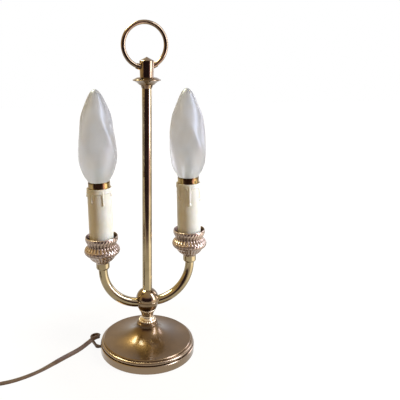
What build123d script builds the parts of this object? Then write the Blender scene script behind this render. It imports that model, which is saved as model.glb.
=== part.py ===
"""Two-light bouillotte lamp: a weighted bell base, a stem with a carrying ring, two curved arms,
and on each arm a gadrooned cup, a bayonet lampholder in a candle sleeve and a twisted-flame bulb.

Millimetres, +Z up. The origin is on the surface that the lamp stands on, under the stem's axis.
The arms lie along X, left is -X. What stands on an arm is measured up the candle's own axis, from
the arm's tip.
"""
import os
from math import cos, degrees, radians, sin, sqrt, tan
from types import SimpleNamespace

from build123d import *

os.makedirs("parts", exist_ok=True)

# ---------------------------------------------------------------- fits
thread_clearance = 0.05     # a threaded tube in its bore, both drawn plain
seat_clearance = 0.3        # a loose piece over what it stands on
running_clearance = 0.05    # a plunger or an axle in its bore
contact_gap = 0.1           # a plunger's tip under the bulb's contact

# ---------------------------------------------------------------- base
base_diameter = 105.0
base_wall_top = 8.0         # top of the plain side wall
base_wall_rounding = 0.5
shell_wall = 0.8
shell_lift = 0.4            # the shell's edge stands clear of the table on the felt
bead_inset = 2.7            # centre line of the rope bead, in from the side wall
bead_rise = 2.2             # and above the side wall's top
bead_size = 3.2
rim_inset = 3.5             # edge of the dished top, in from the side wall
rim_rise = 5.5
rim_rounding = 0.7
rim_land = 2.0              # flat ring between the rim and the flare
flare_rise = 16.1
dome_neck_diameter = 24.0
dome_shoulder = 1.4
felt_thickness = 0.8
felt_edge_gap = 0.5
plate_thickness = 0.7
plate_edge_gap = 1.5
weight_edge_gap = 1.6       # to the inside of the rim
weight_thickness = 9.7
weight_hub_diameter = 18.0
nut_pocket_diameter = 26.0
nut_pocket_depth = 7.5
nut_across_flats = 17.0
nut_thickness = 4.0
nut_flange_diameter = 22.0
nut_flange_thickness = 1.2
cord_channel_width = 7.0
channel_headroom = 0.6      # over the cord
grip_recess = 0.6           # deeper than the channel
grip_pocket_gap = 0.5       # all round the grip
cord_exit_height = 4.0
cord_exit_angle = 172.0     # degrees about the stem, from +X
grommet_wall = 0.5
grommet_flange = 0.4
grommet_flange_thickness = 0.8
grommet_proud = 0.2         # of the shell's wall
grommet_depth = 2.4
grip_length = 10.0          # along the cord
grip_width = 26.0
grip_inset = 19.5           # the grip's middle, from the base's edge
screw_diameter = 3.0
screw_head_diameter = 5.4
screw_head_height = 0.5
screw_length = 7.0
screw_inset = 15.5          # a plate screw's middle, from the base's edge
plate_screw_count = 3
screw_recess_floor = 0.2    # left of the plate under a screw's head

# ---------------------------------------------------------------- neck and cluster
rod_diameter = 10.0
rod_bore = 7.6
bead_string = 2.2           # section of the two bead rings
lower_ring_height = 3.2
lower_ring_diameter = 19.2
upper_ring_height = 2.3
upper_ring_diameter = 18.6
neck_height = 10.2
neck_foot_diameter = 15.6
neck_waist_diameter = 13.0
neck_top_diameter = 17.2
cluster_diameter = 25.5
cluster_wall = 1.6
cluster_floor = 3.0
bowl_height = 10.3
bowl_foot_diameter = 20.0
seam_bead = 0.9
cap_boss_depth = 6.5
cap_boss_diameter = 9.0

# ---------------------------------------------------------------- stem, collar, boss and ring
stem_diameter = 10.8
stem_bore = 8.8
stem_length = 225.3
stem_rod_diameter = 6.0
collar_diameter = 31.2
collar_height = 12.6
collar_edge_height = 9.2    # above the collar's foot
collar_edge_thickness = 1.4
collar_neck_diameter = 14.0
collar_neck_height = 4.0
boss_diameter = 15.0
boss_top_diameter = 16.2
boss_height = 18.0
boss_cone_height = 4.0
boss_thread_depth = 7.0
ring_diameter = 49.2        # centre line
ring_rod_diameter = 5.0
ring_foot_height = 10.4     # lowest point of the centre line above the boss's foot
ring_turn = 7.6             # degrees about the stem, from the plane of the arms
ring_lean = 5.0             # degrees towards the left
ring_socket_diameter = 6.6
ring_socket_reach = 11.3    # from the stem's axis
ring_gap = 7.0              # between the ring's two ends, inside the boss

# ---------------------------------------------------------------- arms
arm_diameter = 10.0
arm_bore = 8.0
arm_axis_rise = 7.3         # above the cluster's foot
arm_span = 49.4             # from the stem's axis to a candle's foot
arm_bend_radius = 42.0
arm_rise = 45.0             # from the arm's axis at the cluster to its tip
left_arm_bend = 87.8        # degrees: short of upright, so its candle leans out
right_arm_bend = 91.2       # degrees: past upright, so its candle leans in
core_diameter = 2.0
core_spacing = 3.2
joint_diameter = 2.8
joint_length = 9.0

# ---------------------------------------------------------------- on each arm, up the candle's axis
arm_collar_foot = -3.0
arm_collar_top = 4.5
arm_collar_diameter = 14.9
cup_floor = 13.5
cup_foot_diameter = 15.2
cup_pocket_diameter = 27.8
cup_bowl_diameter = 30.3    # under the bulge
cup_bowl_height = 12.7
cup_bulge_diameter = 39.3
cup_bulge_height = 18.5
cup_waist_diameter = 31.0
cup_waist_height = 24.3
cup_rim_diameter = 36.2
cup_rim_height = 31.5
cup_top = 34.5
cup_lip_width = 2.4
cup_nut_across_flats = 14.0
cup_nut_thickness = 3.0
holder_tube_length = 53.2
holder_tube_bore = 7.6
holder_cap_foot = 51.0
holder_cap_length = 10.0
holder_cap_wall = 0.8
holder_cap_floor = 2.4
holder_spigot = 3.0
barrel_diameter = 24.0
barrel_wall = 0.6
barrel_top = 94.2
insert_length = 13.5
plunger_diameter = 4.0
plunger_spacing = 9.0
plunger_length = 8.6
plunger_bore_depth = 11.0
spring_wire = 0.4
spring_turns = 5
spring_diameter = 2.8
terminal_width = 4.0
terminal_length = 5.0
terminal_spacing = 10.0
slot_clearance = 0.3        # round a bulb pin
slot_hook_length = 4.4      # sideways leg at the foot of the slot
left_pin_angle = -115.0     # degrees about the candle's axis, from +X
right_pin_angle = -92.0
sleeve_diameter = 26.4
sleeve_wall = 1.0
sleeve_length = 74.8

# ---------------------------------------------------------------- bulb
bulb_cap_diameter = 22.0
bulb_cap_wall = 0.4
bulb_cap_flare = 23.6
bulb_cap_flare_height = 0.3
bulb_cap_length = 11.5      # from its end face to the flare
pin_diameter = 2.2
pin_reach = 26.4            # across both pins
pin_from_end = 6.8
contact_diameter = 4.4
contact_height = 1.0
bulb_base_thickness = 2.8
glass_above_barrel = 1.0
glass_wall = 0.8
glass_neck_diameter = 20.6
glass_neck_depth = 7.0
glass_foot_diameter = 24.0
glass_widest_diameter = 43.8
glass_length = 99.7
mount_diameter = 8.0
mount_length = 40.0
mount_flare = 1.2           # foot of the mount, sealed to the glass neck
mount_stalk = 2.4
mount_wire = 1.0
filament_height = 62.0

# ---------------------------------------------------------------- cord, coil, switch and plug
cord_width = 4.4
coil_turn_diameter = 48.4   # across the middle of the turns
coil_turns_wide = 4
coil_turns_high = 3
switch_length = 58.0
switch_width = 24.0
switch_height = 18.0
switch_nose_length = 6.0
switch_nose_diameter = 8.6
switch_wall = 2.0
switch_heading = -163.0     # degrees about Z, from +X
rocker_length = 18.0
rocker_width = 10.0
rocker_depth = 6.0
rocker_rise = 1.8
rocker_end_gap = 0.7
rocker_axle_depth = 5.0     # below the case's top
contact_strip_width = 4.0
plug_length = 36.0
plug_width = 27.0
plug_thickness = 13.6
plug_tail_width = 9.0
plug_heading = 62.0         # degrees about Z, from +X
plug_pin_diameter = 4.0
plug_pin_length = 19.0
plug_pin_spacing = 18.6

# ---------------------------------------------------------------- heights worked out from the above
base_radius = base_diameter / 2
wall_inside = base_radius - shell_wall
rim_radius = base_radius - rim_inset
rim_height = base_wall_top + rim_rise
flare_centre = (rim_radius - rim_land, rim_height + flare_rise)
dome_neck_radius = dome_neck_diameter / 2
dome_top = flare_centre[1] + dome_shoulder
dome_underside = dome_top - shell_wall
grip_from_centre = base_radius - grip_inset
first_screw_angle = cord_exit_angle + 180 / plate_screw_count
plate_top = felt_thickness + plate_thickness
weight_top = plate_top + weight_thickness
pocket_ceiling = plate_top + nut_pocket_depth
nut_bottom = pocket_ceiling - nut_thickness - nut_flange_thickness
rod_bottom = nut_bottom - 0.2
thread_bore = rod_diameter / 2 + thread_clearance
neck_bottom = dome_top + lower_ring_height
neck_top = neck_bottom + neck_height
cluster_bottom = neck_top + upper_ring_height
rod_top = cluster_bottom + cluster_floor
seam_height = cluster_bottom + bowl_height
cluster_radius = cluster_diameter / 2
stem_foot = seam_height + sqrt(cluster_radius**2 - (stem_diameter / 2) ** 2)
collar_foot = stem_foot + stem_length
boss_foot = collar_foot + collar_height
stem_rod_top = boss_foot + boss_thread_depth
arm_axis_height = cluster_bottom + arm_axis_rise

front = Plane(origin=(0, 0, 0), x_dir=(1, 0, 0), z_dir=(0, -1, 0))


def keep(piece, name):
    """Label a finished piece and write it to a file of its own."""
    piece.label = name
    export_step(piece, f"parts/{name}.step")


def turned(outline, plane=front, axis=Axis.Z):
    """A solid turned about an axis from its (radius, height) corners."""
    with BuildPart() as blank:
        with BuildSketch(plane):
            with BuildLine():
                Polyline(*outline, close=True)
            make_face()
        revolve(axis=axis)
    return blank.part


def tube(radius, bore_radius, low, high, plane=front, axis=Axis.Z):
    """A plain round tube between two heights."""
    return turned([(bore_radius, low), (radius, low), (radius, high), (bore_radius, high)], plane, axis)


# ---------------------------------------------------------------- base shell
# Spun brass: side wall, rope bead, rim, and a flare that rises to the neck.
bead_radius = bead_size / 2
bead_centre = (base_radius - bead_inset, base_wall_top + bead_rise)
bead_reach = radians(70)    # how far the bead's section runs each side of its outermost point
bead_edge = bead_centre[0] + bead_radius * cos(bead_reach)
bead_low = (bead_edge, bead_centre[1] - bead_radius * sin(bead_reach))
bead_high = (bead_edge, bead_centre[1] + bead_radius * sin(bead_reach))
flare_x_radius = flare_centre[0] - dome_neck_radius
shoulder_middle = dome_shoulder * sin(radians(45))
rim_inside = rim_radius - shell_wall - rim_rounding
exit_direction = Vector(cos(radians(cord_exit_angle)), sin(radians(cord_exit_angle)), 0)
exit_plane = Plane(
    origin=exit_direction * base_radius + Vector(0, 0, cord_exit_height),
    x_dir=(0, 0, 1),
    z_dir=exit_direction,
)
grommet_radius = cord_width / 2 + running_clearance + grommet_wall

with BuildPart() as base_shell:
    with BuildSketch(front):
        with BuildLine():
            Polyline(
                (wall_inside, shell_lift),
                (base_radius, shell_lift),
                (base_radius, base_wall_top - base_wall_rounding),
                (base_radius - base_wall_rounding, base_wall_top),
                (bead_edge, base_wall_top),
                bead_low,
            )
            ThreePointArc(bead_low, (bead_centre[0] + bead_radius, bead_centre[1]), bead_high)
            Polyline(
                bead_high,
                (rim_radius, bead_high[1]),
                (rim_radius, rim_height - rim_rounding),
                (rim_radius - rim_rounding, rim_height),
                (flare_centre[0], rim_height),
            )
            EllipticalCenterArc(flare_centre, flare_x_radius, flare_rise, start_angle=180, arc_size=90)
            ThreePointArc(
                (dome_neck_radius, flare_centre[1]),
                (dome_neck_radius - dome_shoulder + shoulder_middle, flare_centre[1] + shoulder_middle),
                (dome_neck_radius - dome_shoulder, dome_top),
            )
            Polyline(
                (dome_neck_radius - dome_shoulder, dome_top),
                (thread_bore, dome_top),
                (thread_bore, dome_underside),
                (dome_neck_radius - shell_wall, dome_underside),
                (dome_neck_radius - shell_wall, flare_centre[1]),
            )
            EllipticalCenterArc(
                flare_centre,
                flare_x_radius + shell_wall,
                flare_rise + shell_wall,
                start_angle=180,
                arc_size=90,
            )
            Polyline(
                (flare_centre[0], rim_height - shell_wall),
                (rim_inside, rim_height - shell_wall),
                (rim_inside, base_wall_top - shell_wall),
                (wall_inside, base_wall_top - shell_wall),
                (wall_inside, shell_lift),
            )
        make_face()
    revolve(axis=Axis.Z)
    with BuildSketch(exit_plane.offset(1)):
        Circle(grommet_radius + thread_clearance)
    extrude(amount=-grommet_depth - 1, mode=Mode.SUBTRACT)
keep(base_shell.part, "base_shell")

# ---------------------------------------------------------------- felt, bottom plate and weight
with BuildPart() as felt_pad:
    with BuildSketch():
        Circle(wall_inside - felt_edge_gap)
    extrude(amount=felt_thickness)
keep(felt_pad.part, "felt_pad")

screw_circle = PolarLocations(base_radius - screw_inset, plate_screw_count, start_angle=first_screw_angle)
plate_screws = [Vector(place.position.X, place.position.Y, 0) for place in screw_circle.locations]
screw_hole_radius = screw_diameter / 2 + thread_clearance

with BuildPart() as base_plate:
    with BuildSketch(Plane.XY.offset(felt_thickness)):
        Circle(wall_inside - plate_edge_gap)
    extrude(amount=plate_thickness)
    with BuildSketch(Plane.XY.offset(felt_thickness)):
        with Locations(*plate_screws):
            Circle(screw_head_diameter / 2 + thread_clearance)
    extrude(amount=plate_thickness, mode=Mode.SUBTRACT)
    with BuildSketch(Plane.XY.offset(plate_top - screw_recess_floor)):
        with Locations(*plate_screws):
            Circle(screw_head_diameter / 2 + thread_clearance)
            Circle(screw_hole_radius, mode=Mode.SUBTRACT)
    extrude(amount=screw_recess_floor)
keep(base_plate.part, "base_plate")

# Cast iron: a disc with a hub up to the dome's underside, a pocket for the nut, and a channel
# from the cord's hole to the middle.
weight_plane = Plane(origin=(0, 0, plate_top), x_dir=exit_direction, z_dir=(0, 0, 1))
weight_radius = rim_inside - weight_edge_gap
channel_depth = cord_exit_height + cord_width / 2 + channel_headroom - plate_top
grip_depth = channel_depth + grip_recess

with BuildPart() as base_weight:
    with BuildSketch(Plane.XY.offset(plate_top)):
        Circle(weight_radius)
    extrude(amount=weight_thickness)
    with BuildSketch(Plane.XY.offset(weight_top)):
        Circle(weight_hub_diameter / 2)
    extrude(amount=dome_underside - weight_top)
    with BuildSketch(Plane.XY.offset(plate_top)):
        Circle(nut_pocket_diameter / 2)
    extrude(amount=nut_pocket_depth, mode=Mode.SUBTRACT)
    with BuildSketch(Plane.XY.offset(plate_top)):
        Circle(thread_bore)
    extrude(amount=dome_top, mode=Mode.SUBTRACT)
    with BuildSketch(weight_plane):
        with Locations((weight_radius / 2, 0)):
            Rectangle(weight_radius + 2, cord_channel_width)
    extrude(amount=channel_depth, mode=Mode.SUBTRACT)
    with BuildSketch(weight_plane):
        with Locations((grip_from_centre, 0)):
            Rectangle(grip_length + 2 * grip_pocket_gap, grip_width + 2 * grip_pocket_gap)
    extrude(amount=grip_depth, mode=Mode.SUBTRACT)
    with BuildSketch(Plane.XY.offset(plate_top)):
        with Locations(*plate_screws):
            Circle(screw_hole_radius)
    extrude(amount=screw_length, mode=Mode.SUBTRACT)
keep(base_weight.part, "base_weight")

# Moulded clamp across the channel, which takes the pull off the cord.
with BuildPart() as cord_grip:
    with BuildSketch(weight_plane.offset(seat_clearance)):
        with Locations((grip_from_centre, 0)):
            RectangleRounded(grip_length, grip_width, 1.5)
    extrude(amount=grip_depth - seat_clearance)
    with BuildSketch(Plane(origin=(0, 0, cord_exit_height), x_dir=(0, 0, 1), z_dir=exit_direction)):
        Circle(cord_width / 2)
        with Locations((-cord_width / 2, 0)):
            Rectangle(cord_width, cord_width)
    extrude(amount=base_radius, mode=Mode.SUBTRACT)
keep(cord_grip.part, "cord_grip")

# Flat-headed plate screws, all alike.
with BuildPart() as base_screws:
    for place in plate_screws:
        with BuildSketch(Plane(place + Vector(0, 0, felt_thickness))):
            Circle(screw_head_diameter / 2)
        extrude(amount=screw_head_height)
        with BuildSketch(Plane(place + Vector(0, 0, felt_thickness))):
            Circle(screw_diameter / 2)
        extrude(amount=screw_length)
keep(base_screws.part, "base_screws")

# Bushing in the shell's hole, with a flange behind the wall.
with BuildPart() as cord_grommet:
    with BuildSketch(exit_plane.offset(grommet_proud)):
        Circle(grommet_radius)
    extrude(amount=-grommet_depth)
    with BuildSketch(exit_plane.offset(-shell_wall - seat_clearance)):
        Circle(grommet_radius + grommet_flange)
    extrude(amount=-grommet_flange_thickness)
    with BuildSketch(exit_plane.offset(2 * grommet_proud)):
        Circle(cord_width / 2 + running_clearance)
    extrude(amount=-2 * grommet_depth, mode=Mode.SUBTRACT)
keep(cord_grommet.part, "cord_grommet")

# ---------------------------------------------------------------- rod, nut, bead rings and spool
keep(tube(rod_diameter / 2, rod_bore / 2, rod_bottom, rod_top), "base_rod")

with BuildPart() as base_nut:
    with BuildSketch(Plane.XY.offset(nut_bottom)):
        RegularPolygon(nut_across_flats / 2, 6, major_radius=False)
    extrude(amount=nut_thickness)
    with BuildSketch(Plane.XY.offset(nut_bottom + nut_thickness)):
        Circle(nut_flange_diameter / 2)
    extrude(amount=nut_flange_thickness)
    with BuildSketch(Plane.XY.offset(nut_bottom)):
        Circle(thread_bore)
    extrude(amount=nut_thickness + nut_flange_thickness, mode=Mode.SUBTRACT)
keep(base_nut.part, "base_nut")


def bead_ring(name, foot, height, diameter, flange):
    """A ring with a string of beads round it, drawn as a rounded rope, and a flange below it."""
    body_radius = diameter / 2 - bead_string / 2
    middle = foot + flange + (height - flange) / 2
    with BuildPart() as ring:
        add(tube(body_radius, thread_bore, foot, foot + height))
        with BuildSketch(front):
            with Locations((body_radius, middle)):
                Circle(bead_string / 2)
        revolve(axis=Axis.Z)
        if flange:
            add(tube(diameter / 2, thread_bore, foot, foot + flange))
    keep(ring.part, name)


bead_ring("lower_bead_ring", dome_top, lower_ring_height, lower_ring_diameter, 0.6)
bead_ring("upper_bead_ring", neck_top, upper_ring_height, upper_ring_diameter, 0)

with BuildPart() as neck_spool:
    with BuildSketch(front):
        with BuildLine():
            foot_corner = (neck_foot_diameter / 2, neck_bottom + 0.08 * neck_height)
            top_corner = (neck_top_diameter / 2, neck_top)
            Polyline((neck_foot_diameter / 2, neck_bottom), foot_corner)
            Spline(
                foot_corner,
                (neck_waist_diameter / 2, neck_bottom + 0.35 * neck_height),
                (neck_waist_diameter / 2 + 0.2, neck_bottom + 0.53 * neck_height),
                (neck_waist_diameter / 2 + 0.9, neck_bottom + 0.75 * neck_height),
                top_corner,
            )
            Polyline(
                top_corner,
                (thread_bore, neck_top),
                (thread_bore, neck_bottom),
                (neck_foot_diameter / 2, neck_bottom),
            )
        make_face()
    revolve(axis=Axis.Z)
keep(neck_spool.part, "neck_spool")

# ---------------------------------------------------------------- arms
core_start = arm_span - arm_bend_radius
candle_sides = []
for name, sign, bend, pin_angle in (
    ("left", -1, left_arm_bend, left_pin_angle),
    ("right", 1, right_arm_bend, right_pin_angle),
):
    turn = radians(bend)
    stub = (arm_rise - arm_bend_radius * (1 - cos(turn))) / sin(turn)
    reach = core_start + arm_bend_radius * sin(turn) + stub * cos(turn)
    tip = Vector(sign * reach, 0, arm_axis_height + arm_rise)
    up = Vector(sign * cos(turn), 0, sin(turn))
    across = Vector(up.Z, 0, -up.X)
    candle_sides.append(
        SimpleNamespace(
            name=name,
            sign=sign,
            bend=bend,
            stub=stub,
            up=up,
            pin_angle=pin_angle,
            tip=tip,
            across=across,
            section=Plane(origin=tip, x_dir=across, z_dir=(0, -1, 0)),
            axis=Axis(tip, up),
        )
    )


def level(side, height, angle=0.0):
    """The plane square to a candle's axis at a height, turned about that axis."""
    x_dir = side.across * cos(radians(angle)) + Vector(0, sin(radians(angle)), 0)
    return Plane(origin=side.tip + side.up * height, x_dir=x_dir, z_dir=side.up)


def arm_sweep(side, radius, spacing=0.0, straight_in=0.0, straight_up=0.0):
    """A rod, or two side by side, along an arm's bend, longer at its ends where asked."""
    start = Vector(side.sign * (core_start - straight_in), 0, arm_axis_height)
    spots = [(spacing / 2, 0), (-spacing / 2, 0)] if spacing else [(0, 0)]
    with BuildPart() as rods:
        with BuildLine() as path:
            along = Vector(side.sign, 0, 0)
            if straight_in:
                Line(start, start + along * straight_in)
            bend_start = start + along * straight_in
            turn = radians(side.bend)
            middle = Vector(
                bend_start.X + side.sign * arm_bend_radius * sin(turn / 2),
                0,
                bend_start.Z + arm_bend_radius * (1 - cos(turn / 2)),
            )
            bend_end = Vector(
                bend_start.X + side.sign * arm_bend_radius * sin(turn),
                0,
                bend_start.Z + arm_bend_radius * (1 - cos(turn)),
            )
            ThreePointArc(bend_start, middle, bend_end)
            Line(bend_end, bend_end + side.up * (side.stub + straight_up))
        with BuildSketch(Plane(origin=start, x_dir=(0, 1, 0), z_dir=along)):
            with Locations(*spots):
                Circle(radius)
        sweep(path=path.line)
    return rods.part


terminal_foot = holder_cap_foot + holder_cap_length + holder_spigot - terminal_length
for side in candle_sides:
    with BuildPart() as arm:
        add(arm_sweep(side, arm_diameter / 2))
        add(arm_sweep(side, arm_bore / 2), mode=Mode.SUBTRACT)
    keep(arm.part, f"{side.name}_arm")

    arm_wires = arm_sweep(
        side,
        core_diameter / 2,
        core_spacing,
        straight_in=core_start - joint_length / 2,
        straight_up=terminal_foot,
    )
    keep(arm_wires, f"{side.name}_arm_wires")

# ---------------------------------------------------------------- cluster
arm_hole = arm_diameter / 2 + thread_clearance
bowl_foot_radius = bowl_foot_diameter / 2
bowl_middle = (bowl_foot_radius + 0.76 * (cluster_radius - bowl_foot_radius), 0.45 * bowl_height)
with BuildPart() as cluster_bowl:
    with BuildSketch(front):
        with BuildLine():
            ThreePointArc(
                (bowl_foot_radius, cluster_bottom),
                (bowl_middle[0], cluster_bottom + bowl_middle[1]),
                (cluster_radius, seam_height),
            )
            Polyline(
                (cluster_radius, seam_height),
                (cluster_radius - cluster_wall, seam_height),
                (bowl_middle[0] - cluster_wall, rod_top + 0.2 * bowl_height),
                (bowl_foot_radius - 0.5 * cluster_wall, rod_top),
                (thread_bore, rod_top),
                (thread_bore, cluster_bottom),
                (bowl_foot_radius, cluster_bottom),
            )
        make_face()
    revolve(axis=Axis.Z)
    with BuildSketch(front):
        with Locations((cluster_radius - seam_bead / 2, seam_height - seam_bead)):
            Circle(seam_bead)
    revolve(axis=Axis.Z)
    for side in candle_sides:
        add(arm_sweep(side, arm_hole, straight_in=core_start / 2), mode=Mode.SUBTRACT)
keep(cluster_bowl.part, "cluster_bowl")

stem_rod_hole = stem_rod_diameter / 2 + thread_clearance
inner_cap_radius = cluster_radius - cluster_wall
with BuildPart() as cluster_cap:
    with BuildSketch(front):
        with BuildLine():
            ThreePointArc(
                (cluster_radius, seam_height),
                (cluster_radius * cos(radians(35)), seam_height + cluster_radius * sin(radians(35))),
                (stem_diameter / 2, stem_foot),
            )
            boss_top = sqrt(inner_cap_radius**2 - (cap_boss_diameter / 2) ** 2) + seam_height
            Polyline(
                (stem_diameter / 2, stem_foot),
                (stem_rod_hole, stem_foot),
                (stem_rod_hole, stem_foot - cap_boss_depth),
                (cap_boss_diameter / 2, stem_foot - cap_boss_depth),
                (cap_boss_diameter / 2, boss_top),
            )
            ThreePointArc(
                (cap_boss_diameter / 2, boss_top),
                (inner_cap_radius * cos(radians(35)), seam_height + inner_cap_radius * sin(radians(35))),
                (inner_cap_radius, seam_height),
            )
            Line((inner_cap_radius, seam_height), (cluster_radius, seam_height))
        make_face()
    revolve(axis=Axis.Z)
    for side in candle_sides:
        add(arm_sweep(side, arm_hole, straight_in=core_start / 2), mode=Mode.SUBTRACT)
keep(cluster_cap.part, "cluster_cap")

# Two crimp sleeves, one for each pole, where both arms' cores meet those of the base.
with BuildPart() as wire_joints:
    joint_end = Plane(origin=(-joint_length / 2, 0, arm_axis_height), x_dir=(0, 1, 0), z_dir=(1, 0, 0))
    with BuildSketch(joint_end):
        with Locations((core_spacing / 2, 0), (-core_spacing / 2, 0)):
            Circle(joint_diameter / 2)
    extrude(amount=joint_length)
keep(wire_joints.part, "wire_joints")

# The cord's sheath from the grommet to the clamp, then its two cores to the rod and up it.
sheath_start = base_radius - grommet_depth
core_run_height = nut_bottom - core_diameter / 2 - 0.2
with BuildPart() as base_wires:
    sheath_end = exit_direction * sheath_start + Vector(0, 0, cord_exit_height)
    with BuildSketch(Plane(sheath_end, x_dir=(0, 0, 1), z_dir=exit_direction)):
        Circle(cord_width / 2 - thread_clearance)
    extrude(amount=grip_from_centre - grip_length - sheath_start)
    sideways = Vector(-exit_direction.Y, exit_direction.X, 0)
    for shift in (core_spacing / 2, -core_spacing / 2):
        offset_point = sideways * shift
        core_start_point = exit_direction * (grip_from_centre - grip_length) + offset_point
        corners = [
            core_start_point + Vector(0, 0, cord_exit_height),
            exit_direction * (nut_across_flats - 3) + offset_point + Vector(0, 0, core_run_height),
            offset_point + Vector(0, 0, core_run_height),
            offset_point + Vector(0, 0, arm_axis_height - joint_diameter / 2),
        ]
        with BuildLine() as core_path:
            FilletPolyline(*corners, radius=[4.0, core_diameter])
        with BuildSketch(Plane(origin=corners[0], z_dir=core_path.line % 0)):
            Circle(core_diameter / 2)
        sweep(path=core_path.line)
keep(base_wires.part, "base_wires")

# ---------------------------------------------------------------- stem, collar, boss and ring
keep(tube(stem_diameter / 2, stem_bore / 2, stem_foot, collar_foot), "stem_tube")
keep(tube(stem_rod_diameter / 2, 0, stem_foot - cap_boss_depth, stem_rod_top), "stem_rod")

collar_radius = collar_diameter / 2
edge_low = collar_foot + collar_edge_height - collar_edge_thickness / 2
edge_high = edge_low + collar_edge_thickness
with BuildPart() as collar_disc:
    with BuildSketch(front):
        with BuildLine():
            neck_corner = (collar_neck_diameter / 2, collar_foot + collar_neck_height)
            step_corner = (collar_neck_diameter / 2 + 1.3, collar_foot + collar_neck_height)
            Polyline((stem_diameter / 2 + 0.2, collar_foot), neck_corner, step_corner)
            Spline(
                step_corner,
                (0.5 * (step_corner[0] + collar_radius) - 0.3, 0.36 * step_corner[1] + 0.64 * edge_low),
                (collar_radius - 0.5, edge_low),
            )
            ThreePointArc(
                (collar_radius - 0.5, edge_low),
                (collar_radius, (edge_low + edge_high) / 2),
                (collar_radius - 0.5, edge_high),
            )
            Polyline(
                (collar_radius - 0.5, edge_high),
                (boss_diameter / 2 + 3.6, boss_foot - 0.6),
                (boss_diameter / 2 + 0.6, boss_foot),
                (stem_rod_hole, boss_foot),
                (stem_rod_hole, collar_foot),
                (stem_diameter / 2 + 0.2, collar_foot),
            )
        make_face()
    revolve(axis=Axis.Z)
keep(collar_disc.part, "collar_disc")

ring_radius = ring_diameter / 2
ring_x = Vector(cos(radians(ring_turn)), sin(radians(ring_turn)), 0)
ring_side = Vector(-ring_x.Y, ring_x.X, 0)
ring_up = Vector(0, 0, cos(radians(ring_lean))) - ring_x * sin(radians(ring_lean))
ring_foot = Vector(0, 0, boss_foot + ring_foot_height)
ring_centre = ring_foot + ring_up * ring_radius
ring_axis = Axis(ring_centre, ring_side)


def ring_arc(section_radius, gap, reach=180.0):
    """The ring's bent rod from each side of its foot, up to an angle round from the foot."""
    arcs = []
    half_gap = degrees(gap / 2 / ring_radius)
    for direction in (1, -1):
        spoke = ring_up * -1
        start = spoke.rotate(Axis((0, 0, 0), ring_side), direction * half_gap)
        tangent = ring_side.cross(start) * direction
        rod_end = Plane(origin=ring_centre + start * ring_radius, x_dir=ring_side, z_dir=tangent)
        with BuildPart() as arc:
            with BuildSketch(rod_end):
                Circle(section_radius)
            revolve(axis=ring_axis, revolution_arc=direction * (reach - half_gap))
        arcs.append(arc.part)
    return arcs


with BuildPart() as carry_ring:
    add(ring_arc(ring_rod_diameter / 2, ring_gap))
keep(carry_ring.part, "carry_ring")

socket_angle = degrees(ring_socket_reach / ring_radius) * 1.04
with BuildPart() as finial_boss:
    boss_top_height = boss_foot + boss_height
    add(
        turned(
            [
                (0, boss_foot),
                (boss_diameter / 2, boss_foot),
                (boss_top_diameter / 2, boss_top_height - 0.5),
                (boss_top_diameter / 2 - 0.5, boss_top_height),
                (0, boss_top_height + boss_cone_height),
            ]
        )
    )
    add(ring_arc(ring_socket_diameter / 2, 0.5, socket_angle))
    add(ring_arc(ring_rod_diameter / 2 + thread_clearance, ring_gap, 90), mode=Mode.SUBTRACT)
    add(tube(stem_rod_hole, 0, boss_foot, stem_rod_top + 0.3), mode=Mode.SUBTRACT)
keep(finial_boss.part, "finial_boss")

# ---------------------------------------------------------------- what each arm carries
barrel_radius = barrel_diameter / 2
barrel_bore = barrel_radius - barrel_wall
barrel_foot = holder_cap_foot + holder_cap_length
insert_foot = barrel_foot + holder_spigot
insert_top = insert_foot + insert_length
glass_foot = barrel_top + glass_above_barrel
bulb_end = glass_foot - bulb_cap_length
pin_height = bulb_end + pin_from_end
plunger_top = bulb_end - contact_height - contact_gap
plunger_foot = plunger_top - plunger_length
sleeve_foot = cup_floor + seat_clearance
sleeve_top = sleeve_foot + sleeve_length

# the flame's outline: share of the widest radius, share of the length
flame_shape = (
    (0.722, 0.057),
    (0.877, 0.147),
    (0.977, 0.280),
    (1.000, 0.380),
    (0.925, 0.515),
    (0.820, 0.644),
    (0.630, 0.782),
    (0.365, 0.915),
    (0.225, 0.965),
    (0.120, 0.990),
)


def flame_outline(inset):
    """The glass's outline from its foot to its tip, moved in by a wall."""
    points = [(glass_foot_diameter / 2 - inset, glass_foot + inset)]
    for radius_share, height_share in flame_shape:
        radius = radius_share * (glass_widest_diameter / 2 - inset)
        points.append((radius, glass_foot + height_share * (glass_length - inset)))
    points.append((0, glass_foot + glass_length - inset))
    return points


def add_tube(side, radius, bore_radius, low, high, mode=Mode.ADD):
    """Add a round tube about the candle's axis to the piece being made."""
    add(tube(radius, bore_radius, low, high, side.section, side.axis), mode=mode)


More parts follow.
